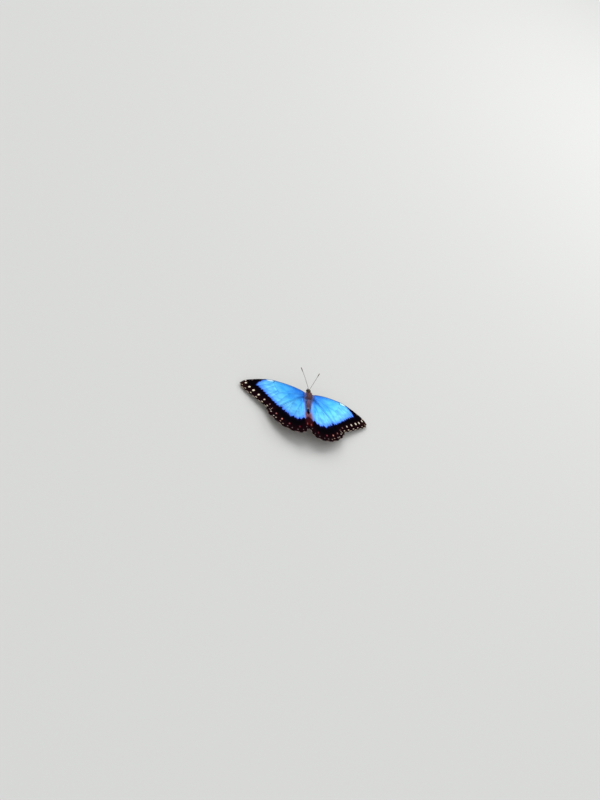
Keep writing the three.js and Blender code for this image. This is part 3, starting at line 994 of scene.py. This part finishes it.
def coat(name, count, start, end, bends):
    """The fur from one station to another, as dense all round and everywhere shorter on the belly."""
    sample = scattered(count)
    station, turn = start + (end - start) * sample[:, 0], sample[:, 1]
    room, slope = girth(station)[0], (girth(station + 0.01)[0] - girth(station - 0.01)[0]) / 0.02
    room *= np.sqrt(1 + np.minimum(slope**2, 9)) / girth(np.linspace(start, end, 200))[0].max()
    root, normal, tail = body_frame(station, turn)
    from_eye = (np.column_stack([np.abs(root[:, 0]), root[:, 1:]]) - EYE_MIDDLE) / EYE_SIZE
    keep = (RNG.random(count) < room) & (np.linalg.norm(from_eye, axis=1) > 1.02)
    station, turn, root, normal, tail = (values[keep] for values in (station, turn, root, normal, tail))
    stations, *traits = np.transpose(FUR)
    length, width, stand, rest = (np.interp(station, stations, trait) for trait in traits)
    # Hairs that grow close together lean and shine alike, which parts the fur into locks.
    rows, columns = 60, 40
    locks = RNG.random((rows, columns, 3))
    lock = locks[(station / LOCK_LENGTH).astype(int) % rows, (turn * columns).astype(int) % columns]
    length *= RNG.uniform(0.75, 1.15, len(length)) * (0.8 + 0.4 * lock[:, 0])
    length *= 1 - 0.45 * smooth(np.abs(turn - 0.5), 0.25, 0.42)
    tail = turned(tail, np.cross(normal, tail), (lock[:, 1:2] - 0.5) * 0.7)
    along = (station - BACKBONE[0][0]) / (BACKBONE[-1][0] - BACKBONE[0][0])
    shape = tufts(
        root, normal, swayed(tail, normal, 0.14), length, width, stand, rest,
        unwrapped(turn % 1, along), bends, station=station, turn=turn,
        pale=pale_patches(station, turn), shade=0.45 * RNG.random(len(root)) + 0.55 * lock[:, 2],
    )
    shape.settle(name, [fur_paint(name + "_paint")], "fur")


def plain_fur(name, dark, light, outer=None):
    """Fur from darker hairs to lighter ones, which may turn to another colour where it thins out."""
    paint = Paint(name, Roughness=0.65, Specular_IOR_Level=0.25)
    shadow = paint.mix(0.28, dark, rgb(12, 8, 10))
    colour = paint.mix(paint.field("shade"), dark, light)
    colour = paint.mix(paint.field("hair").step(-0.2, 0.8), shadow, colour)
    if outer:
        colour = paint.mix(paint.field("away").step(0.1, 0.75), colour, outer)
    return paint.finish(colour)


def wing_hair(edges, name, count, middle, spread, length, inward, paint):
    """Hair that lies on a wing, densest at a middle and thinning out over a spread round it.

    Both are shares of the way to the margin and to the rear edge. By the rear edge the hair leans
    inward by an angle.
    """
    low = np.maximum(np.subtract(middle, spread), (-STUB_REACH, 0))
    high = np.minimum(np.add(middle, spread), 1)
    places = low + (high - low) * scattered(count)
    away = np.linalg.norm((places - middle) / spread, axis=1)
    keep = RNG.random(count) > away**1.3
    (u, v), away = places[keep].T, away[keep]
    flat_u = np.maximum(u, 0)
    root, ahead, beside = (
        on_wing(edges, flat_u + du, v - dv) for du, dv in ((0, 0), (0.02, 0), (0, 0.02))
    )
    lie, rearward = unit(ahead - root), unit(root - beside)
    normal = unit(np.cross(lie, rearward))
    normal *= np.sign(normal[:, 2:])
    lie = turned(lie, rearward, inward * smooth(v, 0.9, 1.0)[:, None])
    stub = np.minimum(u, 0)[:, None] / STUB_REACH
    root = root + stub * (-edges["stub"][0], edges["stub"][1], 0) + normal * (0.04 + 0.3 * stub**2)
    size = length * RNG.uniform(0.6, 1.3, len(u)) * (1 - 0.5 * away)
    unwrap = np.stack([0.02 + 0.96 * v, 0.05 + 0.9 * flat_u], -1)
    shape = tufts(
        root, normal, swayed(lie, normal, 0.16), size, 0.034 - 0.012 * away, 0.22, 0.02, unwrap,
        shade=RNG.random(len(u)), away=away,
    )
    shape.settle_pair(name, [paint], "fur")


# ---- Eyes, feelers and tongue ----


def along_tube(count, path, widths):
    """Evenly scattered places on a tube: points, outward directions, directions along and an unwrap."""
    t, turn = scattered(count).T
    index, steps = t * (len(path) - 1), np.arange(len(path))

    def pick(values):
        return np.stack([np.interp(index, steps, column) for column in values.T], -1)

    along, side, rise = (unit(pick(values)) for values in frames(path))
    normal = turned(side, rise, 2 * np.pi * turn[:, None])
    root = pick(path) + normal * np.interp(index, steps, widths)[:, None]
    return root, normal, along, unwrapped(turn, t)


def eyes():
    """Big, dark, faceted eyes with a gloss."""
    shape = Shape()
    ball(shape, EYE_MIDDLE, EYE_SIZE, 48, 32)
    shape.fields["place"] = [np.concatenate(shape.places)]
    paint = Paint("eye_paint", Roughness=0.22, Coat_Weight=0.5, Coat_Roughness=0.12)
    place = paint.field("place", "Vector")
    facets = paint.node("TexVoronoi", {"Vector": place, "Scale": 9.0})
    paint.bump(1.0 - facets, 0.25, 0.03)
    colour = paint.mix(paint.noise(place, 0.8, 1.0), rgb(20, 11, 10), rgb(66, 38, 24))
    shape.settle_pair("eye_shell", [paint.finish(colour)], "eye", "eye")


def antennae(length=23, segments=44):
    """Thin, ringed feelers that thicken slowly into a slim club, with a knob at the root."""
    start = np.array([0.62, 7.55, HEAD_HEIGHT + 1.35])
    aim = np.array([np.sin(0.4), np.cos(0.4), 0]) * length
    bends = [start + aim * part + (0, 0, rise) for part, rise in ((0.3, 1.5), (0.65, 2.7), (1.0, 3.1))]
    path, t = route([start - (0.1, 0.45, 0.75), start, *bends], 480)
    part = (t * segments) % 1
    club = smooth(t, 0.72, 0.93)
    end = np.sqrt(1 - smooth(t, 0.955, 1.0) * 0.96)
    widths = (0.16 + 0.25 * club) * end * (1 - 0.14 * smooth(np.abs(part - 0.5) * 2, 0.75, 1.0))
    shape = Shape()
    tube(shape, path, widths, widths * (1 - 0.2 * club), sides=14, along=t, joint=part)
    ball(shape, path[12], (0.27, 0.27, 0.27), 14, 10, along=0.0, joint=0.5)
    paint = Paint("antenna_paint", Roughness=0.5, Specular_IOR_Level=0.35)
    along, joint = map(paint.field, ("along", "joint"))
    colour = paint.ramp(
        along, (0.0, rgb(58, 38, 30)), (0.75, rgb(44, 28, 24)), (0.9, rgb(70, 40, 26)),
        (0.97, rgb(150, 96, 52)),
    )
    ring = joint.step(0.3, 0.06) * along.step(0.8, 0.7)
    colour = paint.mix(ring * 0.6, colour, rgb(176, 156, 132))
    shape.settle_pair("antenna_shaft", [paint.finish(colour)], "horn", "antenna")


def palps():
    """Two short furry feelers that curve up before the face."""
    low = HEAD_HEIGHT
    bends = [
        (0.3, 6.7, low - 0.8), (0.4, 7.2, low - 1.5), (0.5, 7.7, low - 1.75), (0.62, 8.5, low - 1.1),
        (0.7, 8.85, low + 0.2), (0.72, 8.6, low + 1.1),
    ]
    path, t = route(bends, 48)
    widths = np.interp(t, [0, 0.4, 0.66, 0.87, 1], [0.2, 0.34, 0.33, 0.2, 0.06])
    core = Shape()
    tube(core, path, widths * 0.75, widths, hair=0.3, shade=0.4)
    furs = plain_fur("palp_fur", rgb(74, 44, 34), rgb(150, 112, 84))
    core.settle_pair("palp_core", [furs], "fur", "palp")
    root, normal, along, unwrap = along_tube(700, path, widths * 0.85)
    pale = (normal[:, 0] > 0.45) & (normal[:, 1] > -0.9)
    shade = np.where(pale, 1.0, 0.5 * RNG.random(len(root)))
    size = np.interp(unwrap[:, 1], [0, 0.6, 1], [0.5, 0.45, 0.3]) * RNG.uniform(0.7, 1.2, len(root))
    lie = swayed(along, normal, 0.2)
    fur = tufts(root, normal, lie, size, 0.032, 0.45, 0.1, unwrap, shade=shade)
    fur.settle_pair("palp_coat", [furs], "fur")


def proboscis():
    """The tongue: two ringed half tubes side by side, coiled like a watch spring under the face."""
    t = even(33)
    angle = 2 * np.pi * 1.6 * t + 0.35 * np.pi
    radius = 0.42 + 1.08 * t
    coil = np.stack([t * 0, 7.1 + radius * np.sin(angle), HEAD_HEIGHT - 3.2 + radius * np.cos(angle)], -1)
    to_mouth = [(0, 5.75, HEAD_HEIGHT - 2.2), (0, 6.25, HEAD_HEIGHT - 1.5), (0, 6.7, HEAD_HEIGHT - 0.9)]
    path, t = route([*coil, *to_mouth], 560)
    rings = 1 - 0.12 * (0.5 + 0.5 * np.cos(2 * np.pi * 90 * t))
    widths = (0.08 + 0.07 * smooth(t, 0, 0.8)) * rings * np.sqrt(np.clip(t / 0.015, 0.02, 1))
    shape = Shape()
    for half in (-1, 1):
        tube(shape, path + (half * 0.1, 0, 0), widths, sides=10, along=t)
    paint = Paint("proboscis_paint", Roughness=0.35)
    colour = paint.mix(paint.field("along"), rgb(88, 52, 30), rgb(52, 30, 22))
    shape.settle("proboscis_coil", [paint.finish(colour)], "horn", "proboscis")


# ---- Legs ----

SOLE = 0.17  # height of a foot's middle above the floor


def joint_part(shape, start, end, radii, sides=12):
    """One stiff part of a leg, with rounded ends and listed half widths along it."""
    t = even(20)
    path = start + (end - start) * t[:, None]
    round_ends = np.sqrt(np.clip(1 - np.maximum(np.abs(2 * t - 1) - 0.86, 0) ** 2 / 0.0215, 0.02, 1))
    widths = np.interp(t, even(len(radii)), radii) * round_ends
    tube(shape, path, widths, sides=sides, tone=0.0)


def thorn(shape, root, way, length, width):
    """A thin spine."""
    t = even(5)
    tube(shape, root + way * length * t[:, None], width * (1 - t) + 0.004, sides=5, tone=0.8)


def claw(shape, root, way, side):
    """One of the two hooked claws of a foot."""
    t = even(9)[:, None]
    path = root + way * 0.42 * t + side * 0.2 * np.sin(np.pi * 0.7 * t)
    path[:, 2] += 0.1 * np.sin(np.pi * t[:, 0])
    path[:, 2] = np.maximum(path[:, 2] - 0.08 * t[:, 0] ** 2, 0.02)
    tube(shape, path, 0.045 * (1 - t[:, 0]) + 0.008, sides=7, tone=1.0)


def walking_leg(name, hip, trochanter, knee, ankle, heel, toe):
    """Hip, thigh, spiny shin with two spurs, and a foot of five parts that ends in two claws."""
    hip, trochanter, knee, ankle, heel, toe = at([hip, trochanter, knee, ankle, heel, toe])
    shape = Shape()
    joint_part(shape, hip + (-0.35, 0, 0.9), trochanter, [0.5, 0.55, 0.4])
    joint_part(shape, trochanter, knee, [0.3, 0.42, 0.4, 0.36, 0.27])
    joint_part(shape, knee, ankle, [0.25, 0.27, 0.23, 0.2, 0.24])
    foot = [ankle, heel, *(heel + (toe - heel) * part for part in (0.36, 0.6, 0.8, 1.0))]
    for start, end in zip(foot, foot[1:]):
        joint_part(shape, start, end, [0.12, 0.15, 0.16, 0.17], sides=10)
    shin = unit(ankle - knee)
    aside = unit(np.cross(shin, (0, 0, 1)))
    inward = unit(np.cross(shin, aside))
    along = unit(toe - heel)
    across = unit(np.cross(along, (0, 0, 1)))
    for row in (-1, 1):
        for part in np.linspace(0.12, 0.94, 11):
            root = knee + (ankle - knee) * part + aside * row * 0.14 + inward * 0.1
            thorn(shape, root, unit(shin + aside * row * 0.8 + inward * 0.8), 0.38, 0.03)
        thorn(shape, ankle + aside * row * 0.12, unit(shin + aside * row * 0.35), 0.8, 0.05)
        for part in np.linspace(0.05, 0.97, 16):
            root = heel + (toe - heel) * part + across * row * 0.12 - (0, 0, 0.07)
            thorn(shape, root, unit(along + across * row * 0.9), 0.2, 0.018)
        claw(shape, toe, along, across * row)
    ball(shape, toe + along * 0.12 + (0, 0, 0.02), (0.1, 0.1, 0.08), 12, 8, tone=1.0)
    shape.settle_pair(name + "_limb", [leg_paint(name)], "horn", name)
    t = even(20)
    thigh, hips = (a + (b - a) * t[:, None] for a, b in ((trochanter, knee), (hip, trochanter)))
    furry(name + "_coat", thigh, np.interp(t, [0, 0.3, 1], [0.28, 0.38, 0.25]), 1100, 0.4)
    furry(name + "_hip_coat", hips, np.interp(t, [0, 0.5, 1], [0.52, 0.52, 0.36]), 700, 0.42)


def furry(name, path, widths, count, length):
    """Fur along a limb, twice as long below it."""
    root, normal, along, unwrap = along_tube(count, path, widths)
    size = length * RNG.uniform(0.7, 1.2, count) * (1 + smooth(-normal[:, 2], 0.3, 0.9))
    lie, shade = swayed(along, normal, 0.2), RNG.random(count)
    fur = tufts(root, normal, lie, size, 0.026, 0.4, 0.12, unwrap, shade=shade)
    fur.settle_pair(name, [plain_fur(name + "_paint", rgb(70, 46, 36), rgb(132, 98, 72))], "fur")


def leg_paint(name):
    paint = Paint(name + "_paint", Roughness=0.55, Specular_IOR_Level=0.3)
    return paint.finish(paint.mix(paint.field("tone"), rgb(92, 60, 42), rgb(40, 24, 20)))


def foreleg():
    """The small brush-footed foreleg, folded against the breast in long fur."""
    bends = [
        (0.7, 3.2, 9.7), (0.8, 3.5, 8.7), (1, 3.7, 8.2), (1.6, 5.2, 7.2), (1.95, 5.6, 6.6),
        (2.1, 4.2, 6.3), (2.2, 2.6, 6.3),
    ]
    path, t = route(bends, 46)
    widths = np.interp(t, [0, 0.35, 0.57, 0.83, 1], [0.36, 0.34, 0.3, 0.26, 0.1])
    shape = Shape()
    tube(shape, path, widths, tone=0.0)
    shape.settle_pair("foreleg_limb", [leg_paint("foreleg")], "horn", "foreleg")
    furry("foreleg_coat", path, widths * 0.95, 1300, 0.45)


# ---- Floor, lights and camera ----


def lay_floor(half=6.0):
    """A pale floor that runs out of sight. half is half its side, in metres."""
    mesh = bpy.data.meshes.new("floor")
    corners_of_floor = [(-half, -half, 0), (half, -half, 0), (half, half, 0), (-half, half, 0)]
    mesh.from_pydata(corners_of_floor, [], [(0, 1, 2, 3)])
    mesh.materials.append(Paint("floor_paint", Base_Color=rgb(222, 222, 218), Roughness=0.9).material)
    placed("floor", mesh)


def lamp(name, kind, energy, heading, place=(0, 0, 0), **settings):
    """A white light that shines in the direction given."""
    data = bpy.data.lights.new(name, kind)
    data.energy = energy
    for setting, value in settings.items():
        setattr(data, setting, value)
    light = placed(name, data)
    light.location = place
    light.rotation_euler = Vector(heading).to_track_quat("-Z", "Y").to_euler()


def light_up():
    """An even sky, a wide soft light from the front and a small one that brings out the shine."""
    world = bpy.data.worlds.new("studio")
    bpy.context.scene.world = world
    world.use_nodes = True
    sky = world.node_tree.nodes["Background"]
    sky.inputs["Color"].default_value = (0.95, 0.97, 1.0, 1)
    sky.inputs["Strength"].default_value = 0.6
    lamp("softbox", "SUN", 1.4, (-0.4, 0.6, -0.75), angle=np.radians(50))
    lamp("glow", "AREA", 1.9, (0.62, 0.75, -0.62), (-0.62, -0.75, 0.62), size=0.4)
    bpy.context.scene.view_settings.view_transform = "Standard"


def place_camera():
    """Behind, to the animal's left and above, turned so that its body slants as it did on the leaf."""
    across = Vector((-0.895, 0, 0.446)).normalized()
    back = across.cross(Vector((0.298, -0.745, 0.598))).normalized()
    upward = back.cross(across)
    lens, film = 70.0, 36.0
    picture_height = 725.953 * MM  # what the picture spans at the animal
    away = picture_height * lens / film
    aside, below = 8.394 * MM, 4.31 * MM  # from the hinge to what the picture's middle shows
    aim = Vector((0, HINGE_Y, HINGE_HEIGHT)) * MM - across * aside - upward * below
    data = bpy.data.cameras.new("camera")
    data.lens = lens
    data.sensor_width = film
    camera = placed("camera", data)
    place = Matrix((across, upward, back)).transposed().to_4x4()
    place.translation = aim + back * away
    camera.matrix_world = place
    bpy.context.scene.camera = camera


# ---- The whole scene ----

for edges in (FOREWING, HINDWING):
    wing(edges)
    fringe(edges)
skin()
coat("thorax_coat", 14500, -4.7, 5.2, 3)
coat("abdomen_coat", 16000, -15.4, ABDOMEN_FRONT, 2)
coat("head_coat", 6000, 5.0, 7.645, 2)
shoulder = plain_fur("shoulder_fur", rgb(118, 122, 200), rgb(200, 196, 248), rgb(62, 140, 248))
lilac = plain_fur("fold_fur_front", rgb(130, 160, 246), rgb(192, 206, 255), rgb(100, 164, 254))
mauve = plain_fur("fold_fur_rear", rgb(144, 98, 120), rgb(204, 156, 174), rgb(140, 90, 110))
wing_hair(FOREWING, "forewing_root_coat", 2400, (-STUB_REACH, 0.5), (0.11, 2.0), 1.7, 0.0, shoulder)
wing_hair(HINDWING, "hindwing_root_coat", 2600, (-STUB_REACH, 0.5), (0.16, 2.0), 1.8, 0.5, lilac)
wing_hair(HINDWING, "hindwing_fold_coat_front", 3600, (0.14, 1.0), (0.34, 0.13), 1.8, 0.6, lilac)
wing_hair(HINDWING, "hindwing_fold_coat_rear", 3200, (0.57, 1.0), (0.13, 0.15), 1.4, 0.25, mauve)
eyes()
antennae()
palps()
proboscis()
walking_leg(
    "midleg", (1.5, 0.4, 7.6), (2.4, 1.0, 6.5), (8.2, 3.2, 8.3), (11.1, 5.4, 1.1), (11.7, 6.9, SOLE),
    (12.9, 10.6, SOLE),
)
walking_leg(
    "hindleg", (1.3, -2.3, 7.7), (2.1, -3.3, 6.6), (6.6, -8.6, 8), (8.8, -14.6, 1.1),
    (9.1, -16.4, SOLE), (9.9, -20.9, SOLE),
)
foreleg()
lay_floor()
light_up()
place_camera()
